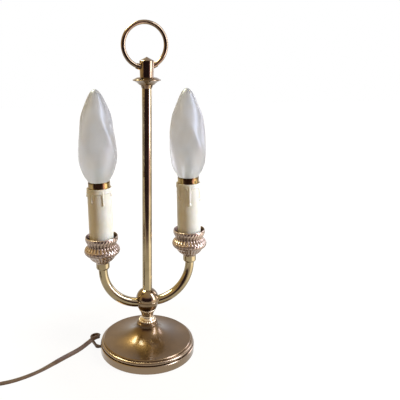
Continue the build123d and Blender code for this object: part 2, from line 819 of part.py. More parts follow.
cup_nuts = []
terminals = []
for side in candle_sides:
    # collar nut that clamps the arm's end under the cup
    with BuildPart() as arm_collar:
        with BuildSketch(side.section):
            with BuildLine():
                collar_round = 2.8
                foot_point = (arm_diameter / 2 + 0.4, arm_collar_foot)
                wide_point = (arm_collar_diameter / 2, arm_collar_foot + collar_round)
                ThreePointArc(
                    foot_point,
                    (arm_collar_diameter / 2 - 0.7, arm_collar_foot + 0.32 * collar_round),
                    wide_point,
                )
                Polyline(
                    wide_point,
                    (arm_collar_diameter / 2, arm_collar_top),
                    (0, arm_collar_top),
                    (0, arm_collar_foot),
                    foot_point,
                )
            make_face()
        revolve(axis=side.axis)
        add_tube(side, thread_bore, 0, 0, arm_collar_top, Mode.SUBTRACT)
        add(arm_sweep(side, arm_diameter / 2 + thread_clearance), mode=Mode.SUBTRACT)
    keep(arm_collar.part, f"{side.name}_arm_collar")

    # cast cup: leafed bowl, gadrooned bulge, waist and flared mouth
    with BuildPart() as cup:
        with BuildSketch(side.section):
            with BuildLine():
                bowl_point = (cup_bowl_diameter / 2, cup_bowl_height)
                waist_point = (cup_waist_diameter / 2, cup_waist_height)
                rim_point = (cup_rim_diameter / 2, cup_rim_height)
                lip_point = (cup_pocket_diameter / 2 + cup_lip_width, cup_top)
                foot_point = (cup_foot_diameter / 2, arm_collar_top)
                ThreePointArc(
                    foot_point,
                    (
                        0.38 * foot_point[0] + 0.62 * bowl_point[0] + 0.25,
                        0.46 * foot_point[1] + 0.54 * bowl_point[1],
                    ),
                    bowl_point,
                )
                ThreePointArc(bowl_point, (cup_bulge_diameter / 2, cup_bulge_height), waist_point)
                Spline(
                    waist_point,
                    (
                        0.40 * waist_point[0] + 0.60 * rim_point[0],
                        0.40 * waist_point[1] + 0.60 * rim_point[1],
                    ),
                    rim_point,
                    lip_point,
                )
                Polyline(
                    lip_point,
                    (cup_pocket_diameter / 2, cup_top),
                    (cup_pocket_diameter / 2, cup_floor),
                    (thread_bore, cup_floor),
                    (thread_bore, arm_collar_top),
                    foot_point,
                )
            make_face()
        revolve(axis=side.axis)
    keep(cup.part, f"{side.name}_cup")

    with BuildPart() as cup_nut:
        with BuildSketch(level(side, cup_floor)):
            RegularPolygon(cup_nut_across_flats / 2, 6, major_radius=False)
            Circle(thread_bore, mode=Mode.SUBTRACT)
        extrude(amount=cup_nut_thickness)
    cup_nuts.append(cup_nut.part)

    with BuildPart() as holder_tube:
        add_tube(side, rod_diameter / 2, holder_tube_bore / 2, 0, holder_tube_length)
    keep(holder_tube.part, f"{side.name}_holder_tube")

    with BuildPart() as holder_cap:
        add_tube(side, barrel_radius, thread_bore, holder_cap_foot, barrel_foot)
        add_tube(side, barrel_bore - thread_clearance, thread_bore, barrel_foot, insert_foot)
        cap_bore = barrel_bore - holder_cap_wall
        cap_inside_foot = holder_cap_foot + holder_cap_floor
        add_tube(side, cap_bore, 0, cap_inside_foot, insert_foot + 1, Mode.SUBTRACT)
    keep(holder_cap.part, f"{side.name}_holder_cap")

    # brass barrel with two J slots, each opening at the rim
    slot_half = pin_diameter / 2 + slot_clearance
    slot_foot = pin_height - slot_half
    with BuildPart() as holder_shell:
        add_tube(side, barrel_radius, barrel_bore, barrel_foot, barrel_top)
        for half_turn in (0, 180):
            outward = level(side, 0, side.pin_angle + half_turn)
            slot_face = Plane(origin=outward.origin, x_dir=outward.y_dir, z_dir=outward.x_dir)
            with BuildSketch(slot_face):
                with Locations((0, (slot_foot + barrel_top + 1) / 2)):
                    Rectangle(2 * slot_half, barrel_top + 1 - slot_foot)
                with Locations((slot_hook_length / 2, pin_height)):
                    Rectangle(slot_hook_length + 2 * slot_half, 2 * slot_half)
            extrude(amount=barrel_radius + 1, mode=Mode.SUBTRACT)
    keep(holder_shell.part, f"{side.name}_holder_shell")

    # plungers stand on a line square to the bulb's pins
    plunger_angle = side.pin_angle + 90
    plunger_spots = [(plunger_spacing / 2, 0), (-plunger_spacing / 2, 0)]
    plunger_bore_radius = plunger_diameter / 2 + running_clearance
    with BuildPart() as holder_insert:
        with BuildSketch(level(side, insert_foot, plunger_angle)):
            Circle(barrel_bore - 2 * thread_clearance)
        extrude(amount=insert_length)
        with BuildSketch(level(side, insert_top, plunger_angle)):
            with Locations(*plunger_spots):
                Circle(plunger_bore_radius)
        extrude(amount=-plunger_bore_depth, mode=Mode.SUBTRACT)
    keep(holder_insert.part, f"{side.name}_holder_insert")

    with BuildPart() as plungers:
        with BuildSketch(level(side, plunger_foot, plunger_angle)):
            with Locations(*plunger_spots):
                Circle(plunger_diameter / 2)
        extrude(amount=plunger_length)
    keep(plungers.part, f"{side.name}_plungers")

    spring_foot = insert_top - plunger_bore_depth
    spring_height = plunger_foot - spring_foot
    spring_pitch = (spring_height - spring_wire) / spring_turns
    with BuildPart() as springs:
        for spot in plunger_spots:
            spring_level = level(side, spring_foot + spring_wire / 2, plunger_angle)
            coil_middle = spring_level.origin + spring_level.x_dir * spot[0]
            with BuildLine(Plane(coil_middle, x_dir=spring_level.x_dir, z_dir=side.up)) as spring_path:
                Helix(spring_pitch, spring_height - spring_wire, spring_diameter / 2)
            with BuildSketch(Plane(origin=spring_path.line @ 0, z_dir=spring_path.line % 0)):
                Circle(spring_wire / 2)
            sweep(path=spring_path.line)
    keep(springs.part, f"{side.name}_springs")

    with BuildPart() as terminal_pair:
        with BuildSketch(level(side, terminal_foot, plunger_angle)):
            with Locations((terminal_spacing / 2, 0), (-terminal_spacing / 2, 0)):
                Rectangle(terminal_width, 2 * terminal_width)
        extrude(amount=terminal_length)
    terminals.append(terminal_pair.part)

    # candle sleeve, which stands in the cup round the lampholder
    with BuildPart() as sleeve:
        add_tube(side, sleeve_diameter / 2, sleeve_diameter / 2 - sleeve_wall, sleeve_foot, sleeve_top)
    keep(sleeve.part, f"{side.name}_sleeve")

    # bulb: cap with its pins and contacts, insulator, glass, and the filament's mount
    cap_radius = bulb_cap_diameter / 2
    with BuildPart() as bulb_cap:
        add(
            turned(
                [
                    (cap_radius - bulb_cap_wall, bulb_end),
                    (cap_radius, bulb_end),
                    (cap_radius, glass_foot - 2 * bulb_cap_flare_height),
                    (bulb_cap_flare / 2, glass_foot - bulb_cap_flare_height),
                    (bulb_cap_flare / 2, glass_foot),
                    (cap_radius - bulb_cap_wall, glass_foot),
                ],
                side.section,
                side.axis,
            )
        )
        pin_level = level(side, pin_height, side.pin_angle)
        pin_face = Plane(origin=pin_level.origin, x_dir=pin_level.y_dir, z_dir=pin_level.x_dir)
        for direction in (1, -1):
            with BuildSketch(pin_face.offset(direction * (cap_radius - bulb_cap_wall))):
                Circle(pin_diameter / 2)
            extrude(amount=direction * (pin_reach / 2 - cap_radius + bulb_cap_wall))
        with BuildSketch(level(side, bulb_end - contact_height, plunger_angle)):
            with Locations(*plunger_spots):
                Circle(contact_diameter / 2)
        extrude(amount=contact_height)
    keep(bulb_cap.part, f"{side.name}_bulb_cap")

    base_top = bulb_end + bulb_base_thickness
    bulb_base = tube(cap_radius - bulb_cap_wall, 0, bulb_end, base_top, side.section, side.axis)
    keep(bulb_base, f"{side.name}_bulb_base")

    neck_radius = glass_neck_diameter / 2
    neck_foot = glass_foot - glass_neck_depth
    with BuildPart() as bulb_glass:
        for inset, mode in ((0, Mode.ADD), (glass_wall, Mode.SUBTRACT)):
            outline = flame_outline(inset)
            with BuildSketch(side.section):
                with BuildLine():
                    Polyline(
                        (0, neck_foot - inset),
                        (neck_radius - inset, neck_foot - inset),
                        (neck_radius - inset, outline[0][1]),
                        outline[0],
                    )
                    Spline(*outline)
                    Line(outline[-1], (0, neck_foot - inset))
                make_face()
            revolve(axis=side.axis, mode=mode)
    keep(bulb_glass.part, f"{side.name}_bulb_glass")

    with BuildPart() as bulb_mount:
        flare_radius = neck_radius - glass_wall - contact_gap
        add_tube(side, flare_radius, mount_diameter / 2 - 1, neck_foot, neck_foot + mount_flare)
        add_tube(side, mount_diameter / 2, 0, neck_foot, neck_foot + mount_length * 0.6)
        add_tube(side, mount_stalk / 2, 0, neck_foot, neck_foot + mount_length)
        upright_middle = neck_foot + (mount_length + filament_height) / 2
        upright_offset = mount_diameter - mount_wire / 2
        with BuildSketch(side.section):
            with Locations((0, neck_foot + mount_length), (0, neck_foot + filament_height)):
                Rectangle(mount_diameter * 2, mount_wire)
            with Locations((upright_offset, upright_middle), (-upright_offset, upright_middle)):
                Rectangle(mount_wire, filament_height - mount_length)
        extrude(amount=mount_wire / 2, both=True)
    keep(bulb_mount.part, f"{side.name}_bulb_mount")

keep(Compound(children=cup_nuts), "cup_nuts")
keep(Compound(children=terminals), "lampholder_terminals")

# ---------------------------------------------------------------- cord
# The lead leaves the base, curls once over itself and runs out to its switch, then to a put-away
# coil, and ends in the plug that lies on the coil. Points are the corners of its straight runs.
lamp_to_switch = [
    (-49.7, 7.0, 4.0),
    (-54.9, 7.7, 3.9),
    (-58.9, 12.6, 3.2),
    (-60.6, 19.8, 2.4),
    (-62.6, 29.2, 2.4),
    (-59.7, 34.8, 2.4),
    (-53.4, 35.0, 2.4),
    (-50.3, 29.5, 3.4),
    (-53.2, 24.3, 5.6),
    (-57.4, 21.9, 7.2),
    (-63.4, 18.5, 7.2),
    (-70.6, 13.6, 4.6),
    (-79.0, 7.2, 2.4),
    (-91.1, -2.9, 2.5),
    (-106.2, -14.0, 2.4),
    (-122.2, -23.4, 2.5),
    (-139.0, -30.3, 2.4),
    (-152.5, -34.8, 2.6),
    (-163.5, -38.2, 4.5),
]
switch_to_coil = [
    (-218.96, -55.16, 4.5),
    (-228.0, -57.9, 3.0),
    (-236.4, -55.0, 2.4),
    (-240.4, -47.2, 2.4),
    (-240.2, -36.0, 2.5),
    (-237.0, -22.0, 2.4),
    (-230.8, 1.0, 2.6),
]
coil_to_plug = [
    (-211.3, -25.9, 12.0),
    (-218.8, -23.2, 15.6),
    (-223.9, -17.6, 17.8),
    (-224.3, -10.1, 19.6),
    (-220.5, -3.0, 20.4),
]
coil_centre = Vector(-197.8, 2.5, 0)


def route_radii(points):
    """Arc radii, one for each corner, as large as the runs beside it allow."""
    corners = [Vector(*point) for point in points]
    radii = []
    for before, corner, after in zip(corners, corners[1:], corners[2:]):
        half_turn = radians((corner - before).get_angle(after - corner) / 2)
        shorter = min((corner - before).length, (after - corner).length)
        radii.append(0.45 * shorter / tan(half_turn))
    return radii


with BuildPart() as supply_cord:
    for stretch in (lamp_to_switch, switch_to_coil, coil_to_plug):
        with BuildLine() as route:
            FilletPolyline(*stretch, radius=route_radii(stretch))
        path = route.wire()
        with BuildSketch(Plane(origin=stretch[0], z_dir=path % 0)):
            Circle(cord_width / 2)
        sweep(path=path)
keep(supply_cord.part, "supply_cord")

coil_width = coil_turns_wide * cord_width
coil_height = coil_turns_high * cord_width
with BuildPart() as cord_coil:
    with BuildSketch(Plane(origin=coil_centre, x_dir=(1, 0, 0), z_dir=(0, -1, 0))):
        with Locations((coil_turn_diameter / 2, coil_height / 2 + 0.2)):
            RectangleRounded(coil_width, coil_height, cord_width / 2 - 0.05)
    revolve(axis=Axis(coil_centre, (0, 0, 1)))
keep(cord_coil.part, "cord_coil")

# ---------------------------------------------------------------- switch on the cord
switch_along = Vector(cos(radians(switch_heading)), sin(radians(switch_heading)), 0)
switch_foot = Vector(*lamp_to_switch[-1][:2], 0.2)
switch_middle = switch_foot + switch_along * (switch_length / 2)
switch_base = Plane(origin=switch_middle, x_dir=switch_along, z_dir=(0, 0, 1))
body_length = switch_length - 2 * switch_nose_length
cord_entry = lamp_to_switch[-1][2] - switch_foot.Z
rocker_half = rocker_length / 2



def nose_plane(direction, reach):
    """The plane square to the cord at one end of the switch, at a reach from its middle."""
    middle = switch_base.origin + Vector(0, 0, cord_entry)
    return Plane(
        origin=middle + switch_along * (direction * reach),
        x_dir=(0, 0, 1),
        z_dir=switch_along * direction,
    )


with BuildPart() as switch_case:
    with BuildSketch(switch_base):
        RectangleRounded(body_length, switch_width, 6)
    extrude(amount=switch_height)
    fillet(switch_case.edges().group_by(Axis.Z)[-1], 4)
    for direction in (1, -1):
        with BuildSketch(nose_plane(direction, body_length / 2 - 1)):
            Circle(switch_nose_diameter / 2)
        extrude(amount=switch_nose_length + 1)
    with BuildSketch(switch_base.offset(switch_wall)):
        RectangleRounded(body_length - 2 * switch_wall, switch_width - 2 * switch_wall, 4)
    extrude(amount=switch_height - 2 * switch_wall, mode=Mode.SUBTRACT)
    for direction in (1, -1):
        with BuildSketch(nose_plane(direction, body_length / 2 - 2 * switch_wall)):
            Circle(cord_width / 4)
        extrude(amount=switch_nose_length + 3 * switch_wall, mode=Mode.SUBTRACT)
    with BuildSketch(switch_base.offset(switch_height - 2 * switch_wall)):
        Rectangle(rocker_length + 2 * rocker_end_gap, rocker_width + 2 * seat_clearance)
    extrude(amount=3 * switch_wall, mode=Mode.SUBTRACT)
keep(switch_case.part, "switch_case")

rocker_axle = switch_base.offset(switch_height - rocker_axle_depth)
rocker_side = Plane(origin=rocker_axle.origin, x_dir=switch_along, z_dir=rocker_axle.y_dir * -1)
with BuildPart() as switch_rocker:
    with BuildSketch(rocker_side):
        with BuildLine():
            low = -1.5
            edge = rocker_depth - 1.8
            crest = rocker_depth - 1.2
            Polyline(
                (-3, low),
                (3, low),
                (rocker_half - 1.2, edge - 2.2),
                (rocker_half - 0.4, edge + rocker_rise),
            )
            ThreePointArc(
                (rocker_half - 0.4, edge + rocker_rise),
                (0, crest),
                (0.4 - rocker_half, edge + rocker_rise),
            )
            Polyline((0.4 - rocker_half, edge + rocker_rise), (1.2 - rocker_half, edge - 2.2), (-3, low))
        make_face()
    extrude(amount=rocker_width / 2, both=True)
keep(switch_rocker.part, "switch_rocker")

with BuildPart() as switch_contacts:
    for direction in (1, -1):
        spot = (direction * body_length * 0.27, 0)
        with BuildSketch(switch_base.offset(switch_wall)):
            with Locations(spot):
                Rectangle(contact_strip_width * 2, contact_strip_width)
        extrude(amount=contact_strip_width)
keep(switch_contacts.part, "switch_contacts")

# ---------------------------------------------------------------- plug
plug_along = Vector(cos(radians(plug_heading)), sin(radians(plug_heading)), 0)
plug_tail = Vector(*coil_to_plug[-1])
plug_face = Plane(origin=plug_tail, x_dir=(-plug_along.Y, plug_along.X, 0), z_dir=plug_along)
with BuildPart() as plug_body:
    with BuildSketch(plug_face):
        RectangleRounded(plug_tail_width, plug_tail_width, 3)
    with BuildSketch(plug_face.offset(plug_length * 0.45)):
        RectangleRounded(plug_width * 0.8, plug_thickness - 1, 5)
    with BuildSketch(plug_face.offset(plug_length)):
        RectangleRounded(plug_width, plug_thickness, 5)
    loft()
keep(plug_body.part, "plug_body")

with BuildPart() as plug_pins:
    with BuildSketch(plug_face.offset(plug_length)):
        with Locations((plug_pin_spacing / 2, 0), (-plug_pin_spacing / 2, 0)):
            Circle(plug_pin_diameter / 2)
    extrude(amount=plug_pin_length)
keep(plug_pins.part, "plug_pins")
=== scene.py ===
"""Two-light bouillotte lamp: finishes, cast and waxed detail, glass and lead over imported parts."""
from math import cos, exp, hypot, pi, radians, sin

import bmesh
import bpy
from mathutils import Matrix, Vector
from mathutils.noise import noise


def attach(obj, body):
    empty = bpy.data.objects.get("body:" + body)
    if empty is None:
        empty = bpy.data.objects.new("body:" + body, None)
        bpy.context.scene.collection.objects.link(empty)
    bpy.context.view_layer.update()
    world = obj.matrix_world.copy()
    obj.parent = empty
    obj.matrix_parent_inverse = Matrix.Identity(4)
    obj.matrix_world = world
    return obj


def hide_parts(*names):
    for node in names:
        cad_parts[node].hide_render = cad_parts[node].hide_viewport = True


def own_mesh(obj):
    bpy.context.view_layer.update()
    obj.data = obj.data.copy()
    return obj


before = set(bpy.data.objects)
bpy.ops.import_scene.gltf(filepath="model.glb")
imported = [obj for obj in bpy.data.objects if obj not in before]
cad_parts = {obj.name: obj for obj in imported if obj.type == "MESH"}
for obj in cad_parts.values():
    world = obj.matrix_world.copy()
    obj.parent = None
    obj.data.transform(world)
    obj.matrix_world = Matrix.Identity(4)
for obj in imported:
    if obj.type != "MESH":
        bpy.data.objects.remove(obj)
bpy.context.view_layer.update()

# ---- Camera: above the bulbs, level with the foot of the ring, and to the left of the lamp.
# The lamp stands right of the frame's middle, so the lens is shifted.
camera_turn = radians(13.38)
camera_tilt = 0.0775
camera = bpy.data.objects.new("camera", bpy.data.cameras.new("camera"))
camera.location = (-0.11425, -0.55223, 0.325)
camera.rotation_euler = (pi / 2 - camera_tilt, 0, -camera_turn)
camera.data.lens = 46.55
camera.data.sensor_width = 36
camera.data.shift_x = 0.0948
camera.data.shift_y = -0.2499
camera.data.clip_start = 0.01
bpy.context.scene.collection.objects.link(camera)
bpy.context.scene.camera = camera

# ---- Supply lead: brown figure-of-eight twin flex, of which only the PVC skin is made.
# It leaves the base, curls over itself, runs through the switch to a stored coil and ends in
# the plug. Bent sideways it stands on edge, on straight runs it lies flat.
lead_width = 4.7
lead_thickness = 2.6
lead_start = (-49.7, 7.0, 4.0)
curl_and_run = [
    lead_start,
    (-53.2, 7.5, 3.6),
    (-56.8, 10.4, 3.0),
    (-57.6, 16.0, 2.5),
    (-59.2, 21.5, 2.5),
    (-60.4, 27.0, 2.5),
    (-60.4, 31.2, 2.5),
    (-57.7, 34.2, 2.6),
    (-53.8, 34.2, 3.0),
    (-51.1, 31.2, 3.6),
    (-51.1, 26.8, 4.8),
    (-54.6, 21.8, 7.3),
    (-60.0, 17.2, 8.0),
    (-66.8, 12.6, 5.9),
    (-74.6, 8.2, 3.4),
    (-84.0, 2.6, 2.5),
    (-94.5, -4.4, 2.4),
    (-106.2, -13.2, 2.3),
    (-119.2, -21.5, 1.6),
    (-133.0, -28.3, 1.6),
    (-146.0, -32.8, 1.8),
    (-156.5, -36.0, 3.0),
    (-165.5, -38.7, 4.5),
]
through_switch = [(-182.0, -43.8, 4.5), (-200.5, -49.5, 4.5)]
switch_to_coil = [
    (-218.96, -55.16, 4.5),
    (-228.0, -57.9, 3.0),
    (-236.4, -55.0, 2.4),
    (-240.4, -47.2, 2.4),
    (-240.2, -36.0, 2.5),
    (-237.0, -22.0, 2.4),
]
coil_to_plug = [
    (-211.3, -25.9, 12.4),
    (-218.8, -23.2, 15.6),
    (-223.9, -17.6, 17.8),
    (-224.3, -10.1, 19.6),
    (-220.5, -3.0, 20.4),
]
coil_centre = (-197.8, 2.5)
# each layer of the coil: its height and the radii of its turns, in mm
coil_rows = [
    (2.4, (30.8, 26.4, 22.0, 17.6)),
    (6.8, (17.8, 22.0, 26.2, 30.6)),
    (11.1, (26.6, 30.6)),
]
coil_entry_angle = 182
points_per_turn = 16
left_out_of_last_turn = 0.175
crossing_over = 0.75  # share of a turn after which the flex moves over to the next turn
coil_unevenness = 0.9
turns = [(radius, height) for height, radii in coil_rows for radius in radii]
steps = round((len(turns) - left_out_of_last_turn) * points_per_turn)
coil_turns = []
for step in range(1, steps):
    turn_number = min(int(step / points_per_turn), len(turns) - 1)
    into = step / points_per_turn - turn_number
    radius, height = turns[turn_number]
    following = turns[min(turn_number + 1, len(turns) - 1)]
    ease = max(0.0, (into - crossing_over) / (1 - crossing_over))
    radius += (following[0] - radius) * ease
    height += (following[1] - height) * ease
    radius += coil_unevenness * noise(Vector((step * 0.21, turn_number * 3.7, 0.5)))
    angle = radians(coil_entry_angle - 360 * step / points_per_turn)
    coil_turns.append(
        (coil_centre[0] + radius * cos(angle), coil_centre[1] + radius * sin(angle), height)
    )
lead_route = curl_and_run + through_switch + switch_to_coil + coil_turns + coil_to_plug

lead_line = bpy.data.curves.new("supply_lead_line", "CURVE")
lead_line.dimensions = "3D"
lead_line.resolution_u = 8
spline = lead_line.splines.new("NURBS")
spline.points.add(len(lead_route) - 1)
for place, (x, y, z) in zip(spline.points, lead_route):
    place.co = (x / 1000, y / 1000, z / 1000, 1)
spline.order_u = 3
spline.use_endpoint_u = True
line_object = bpy.data.objects.new("supply_lead_line", lead_line)
line_mesh = bpy.data.meshes.new_from_object(line_object)
lead_path = [vertex.co.copy() for vertex in line_mesh.vertices]
bpy.data.objects.remove(line_object)


def put(name, mesh, finish, body="lamp"):
    """Link a mesh as a piece with its finish, riding on a body."""
    piece = bpy.data.objects.new(name, mesh)
    bpy.context.scene.collection.objects.link(piece)
    mesh.materials.append(finish)
    mesh.shade_smooth()
    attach(piece, body)
    return piece


def skin(name, rings, closed_along=False):
    """A mesh stretched over rings of points, all of the same count; an open one has two caps."""
    mesh = bpy.data.meshes.new(name)
    shell = bmesh.new()
    rows = [[shell.verts.new(point) for point in ring] for ring in rings]
    count = len(rows[0])
    pairs = list(zip(rows, rows[1:]))
    if closed_along:
        pairs.append((rows[-1], rows[0]))
    for low, high in pairs:
        for i in range(count):
            j = (i + 1) % count
            shell.faces.new((low[i], low[j], high[j], high[i]))
    if not closed_along:
        shell.faces.new(list(reversed(rows[0])))
        shell.faces.new(rows[-1])
    bmesh.ops.recalc_face_normals(shell, faces=shell.faces)
    shell.to_mesh(mesh)
    shell.free()
    return mesh


def roll_at(distance, marks):
    """The flex's roll at a distance along it, eased between marked places."""
    for (start, first), (end, last) in zip(marks, marks[1:]):
        if start <= distance < end:
            share = (distance - start) / (end - start)
            share = share * share * (3 - 2 * share)
            return first + (last - first) * share
    return marks[-1][1]


# distance along the lead in mm, and how far the flat flex is rolled there, in degrees
lead_rolls = [
    (0, -150), (8, -100), (50, -102), (64, -56), (100, -48), (118, -6), (130, 6), (144, 4),
    (168, 0), (240, 0), (262, 86), (1800, 92), (1838, 60), (1870, 0), (2000, 0),
]
section_points = 24
waist_depth = 0.45
waist_narrowness = 2.4
section = []
for i in range(section_points):
    around = 2 * pi * i / section_points
    lobe = 0.5 * (lead_width - lead_thickness) * (1 if cos(around) > 0 else -1)
    waist = 1 - waist_depth * exp(-((cos(around) * waist_narrowness) ** 2))
    section.append((
        lobe * min(1.0, abs(cos(around)) * 4) + 0.5 * lead_thickness * cos(around),
        0.5 * lead_thickness * sin(around) * waist,
    ))
rings = []
travelled = 0.0
for i, point in enumerate(lead_path):
    before = lead_path[max(i - 1, 0)]
    after = lead_path[min(i + 1, len(lead_path) - 1)]
    along = (after - before).normalized()
    if i:
        travelled += (point - before).length * 1000
    level_side = along.cross(Vector((0, 0, 1))).normalized()
    roll = radians(roll_at(travelled, lead_rolls))
    side = Matrix.Rotation(roll, 3, along) @ level_side
    top = side.cross(along)
    rings.append([point + side * (u / 1000) + top * (v / 1000) for u, v in section])


def srgb(code):
    """A sRGB hex colour as the linear colour that the shader takes."""
    channels = [int(code[i:i + 2], 16) / 255 for i in (1, 3, 5)]
    return [c / 12.92 if c < 0.04045 else ((c + 0.055) / 1.055) ** 2.4 for c in channels] + [1]


def node(tree, kind, into=None, **settings):
    """Add a shader node; into fills or links its inputs, settings are its own properties."""
    made = tree.nodes.new("ShaderNode" + kind)
    for key, value in settings.items():
        setattr(made, key, value)
    for key, value in (into or {}).items():
        if isinstance(value, bpy.types.NodeSocket):
            tree.links.new(value, made.inputs[key])
        else:
            made.inputs[key].default_value = value
    return made


def reckon(tree, operation, *values):
    """The result of a sum on numbers."""
    return node(tree, "Math", dict(enumerate(values)), operation=operation).outputs[0]


def reckon_vector(tree, operation, *values):
    """The result of a sum on vectors: a number for a dot product or a length."""
    made = node(tree, "VectorMath", dict(enumerate(values)), operation=operation)
    return made.outputs["Value" if operation in ("DOT_PRODUCT", "LENGTH") else "Vector"]


def ramp(tree, value, given=(0.0, 1.0), wanted=(0.0, 1.0), smooth=False):
    """A value carried from one range to another and held at the ends."""
    ends = {"From Min": given[0], "From Max": given[1], "To Min": wanted[0], "To Max": wanted[1]}
    kind = "SMOOTHSTEP" if smooth else "LINEAR"
    made = node(tree, "MapRange", {"Value": value, **ends}, interpolation_type=kind)
    return made.outputs["Result"]


def blend(tree, factor, first, second):
    """A number between two."""
    return node(tree, "Mix", {"Factor": factor, "A": first, "B": second}).outputs["Result"]


def tint(tree, factor, first, second):
    """A colour between two, each a hex colour or another node's output."""
    first, second = [srgb(end) if isinstance(end, str) else end for end in (first, second)]
    mixed = node(tree, "Mix", {"Factor": factor, 6: first, 7: second}, data_type="RGBA")
    return mixed.outputs[2]


def finish(name, colour, roughness, metallic=0.0):
    """A new material and its tree, shader and place on the object in millimetres."""
    made = bpy.data.materials.new(name)
    made.use_nodes = True
    tree = made.node_tree
    shader = tree.nodes["Principled BSDF"]
    shader.inputs["Base Color"].default_value = srgb(colour)
    shader.inputs["Roughness"].default_value = roughness
    shader.inputs["Metallic"].default_value = metallic
    place = node(tree, "TexCoord").outputs["Object"]
    place = node(tree, "VectorMath", {0: place, "Scale": 1000}, operation="SCALE").outputs[0]
    return made, tree, shader, place


def blotch(tree, place, size, low, high, detail=3.0, stretch=None):
    """Noise of a size in mm, read between two values, as a factor from 0 to 1."""
    if stretch:
        place = reckon_vector(tree, "MULTIPLY", place, stretch)
    cloud = node(tree, "TexNoise", {"Vector": place, "Scale": 1 / size, "Detail": detail})
    return ramp(tree, cloud.outputs["Fac"], (low, high))


def colour_between(tree, shader, factor, first, second):
    """Let the base colour go from one hex colour to another by a factor."""
    tree.links.new(tint(tree, factor, first, second), shader.inputs["Base Color"])


def rough_between(tree, shader, factor, low, high):
    """Let the roughness go from low to high by a factor."""
    tree.links.new(ramp(tree, factor, wanted=(low, high)), shader.inputs["Roughness"])


def coat(shader, weight, roughness=0.03):
    """Put clear lacquer or a smooth skin over a finish."""
    shader.inputs["Coat Weight"].default_value = weight
    shader.inputs["Coat Roughness"].default_value = roughness


def relief(tree, shader, height, depth):
    """Bump of a depth in millimetres."""
    bump = node(tree, "Bump", {"Height": height, "Distance": depth / 1000, "Strength": 1.0})
    tree.links.new(bump.outputs["Normal"], shader.inputs["Normal"])


# Extruded PVC: a brown skin with a soft shine, slightly uneven, with paler dusty patches.
flex_pvc, tree, shader, place = finish("extruded_brown_pvc", "#5B432B", 0.48)
colour_between(tree, shader, blotch(tree, place, 6.0, 0.35, 0.75), "#60442A", "#7C5D3B")
shader.inputs["Specular IOR Level"].default_value = 0.25
relief(tree, shader, blotch(tree, place, 0.9, 0.3, 0.7), 0.03)
supply_lead = put("supply_lead", skin("supply_lead", rings), flex_pvc)
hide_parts("supply_cord", "cord_coil")

# ---- Studio: a white table before a white surround, with two cool windows at the right.
# A warm lamp at the left lights only matt surfaces, a pale one above shows only in glossy ones.
# In glossy rays the table glows with a painted sheen of the window and a painted dark on the
# viewer's side, which polished metal mirrors.
viewer_side = Vector((-0.21, -0.98, 0))
window_side = Vector((0.87, -0.50, 0))
dark_tint = "#F4C8F0"
darkening_reach = (0.27, 0.42)  # metres towards the viewer
mirrored_table = (0.92, 0.06)
sheen_arc = (0.82, 0.97)
sheen_level = 1.9
foot_shadow_reach = (0.10, 0.24)  # metres from the lamp's axis
table_level, table_rise = 1.165, 0.12
table_own_light = 0.80
studio_white = bpy.data.materials.new("studio_table")
studio_white.use_nodes = True
studio_white.cycles.emission_sampling = "NONE"
tree = studio_white.node_tree
tree.nodes.clear()
rays = node(tree, "LightPath").outputs
glossy_ray = rays["Is Glossy Ray"]
spot = node(tree, "NewGeometry").outputs["Position"]
nearness = reckon_vector(tree, "DOT_PRODUCT", spot, viewer_side)
sheen = reckon_vector(tree, "NORMALIZE", spot)
sheen = reckon_vector(tree, "DOT_PRODUCT", sheen, window_side)
sheen = ramp(tree, sheen, sheen_arc, (0.0, sheen_level), smooth=True)
away = ramp(tree, reckon_vector(tree, "LENGTH", spot), foot_shadow_reach)
sheen = reckon(tree, "MULTIPLY", sheen, away)
# painted reflection: for glossy rays the table's glow darkens towards the viewer and brightens in
# the window's sheen
mirrored = ramp(tree, nearness, darkening_reach, mirrored_table, smooth=True)
mirrored = reckon(tree, "ADD", mirrored, sheen)
seen = reckon(tree, "MAXIMUM", rays["Is Camera Ray"], rays["Is Transmission Ray"])
share = reckon(tree, "MAXIMUM", reckon(tree, "MULTIPLY", seen, table_own_light), glossy_ray)
plain = reckon(tree, "MULTIPLY_ADD", away, table_rise, table_level)
level = blend(tree, glossy_ray, plain, mirrored)
dim = reckon(tree, "MULTIPLY", ramp(tree, nearness, darkening_reach), glossy_ray)
glow_colour = tint(tree, dim, "#FFFFFF", dark_tint)
glow = node(tree, "Emission", {"Color": glow_colour, "Strength": level}).outputs[0]
matt = node(tree, "BsdfDiffuse", {"Color": srgb("#C6B48E")}).outputs[0]
both = node(tree, "MixShader", {0: share, 1: matt, 2: glow}).outputs[0]
node(tree, "OutputMaterial", {"Surface": both})
table_mesh = bpy.data.meshes.new("studio_table")
reach = 3.0
table_corners = [(-reach, -reach, 0), (reach, -reach, 0), (reach, reach, 0), (-reach, reach, 0)]
table_mesh.from_pydata(table_corners, [], [(0, 1, 2, 3)])
table_mesh.materials.append(studio_white)
studio_table = bpy.data.objects.new("studio_table", table_mesh)
bpy.context.scene.collection.objects.link(studio_table)

dark_middle = (-0.308, -0.951, 0)
dark_arc = (0.50, 0.74)
dark_height = (0.26, 0.60)
mirrored_room = (0.95, 0.065)
room_light = 0.15
world = bpy.data.worlds.new("studio_surround")
world.use_nodes = True
world.cycles.sampling_method = "NONE"
bpy.context.scene.world = world
tree = world.node_tree
tree.nodes.clear()
rays = node(tree, "LightPath").outputs
facing = node(tree, "TexCoord").outputs["Generated"]
facing_axes = node(tree, "SeparateXYZ", {0: facing}).outputs
level_way = reckon_vector(tree, "MULTIPLY", facing, (1, 1, 0))
level_way = reckon_vector(tree, "NORMALIZE", level_way)
frontal = reckon_vector(tree, "DOT_PRODUCT", level_way, dark_middle)
frontal = ramp(tree, frontal, dark_arc, smooth=True)
low = ramp(tree, facing_axes["Z"], dark_height, (1.0, 0.0), smooth=True)
dark = reckon(tree, "MULTIPLY", frontal, low)
mirrored = ramp(tree, dark, wanted=mirrored_room)
lit = blend(tree, rays["Is Glossy Ray"], room_light, mirrored)
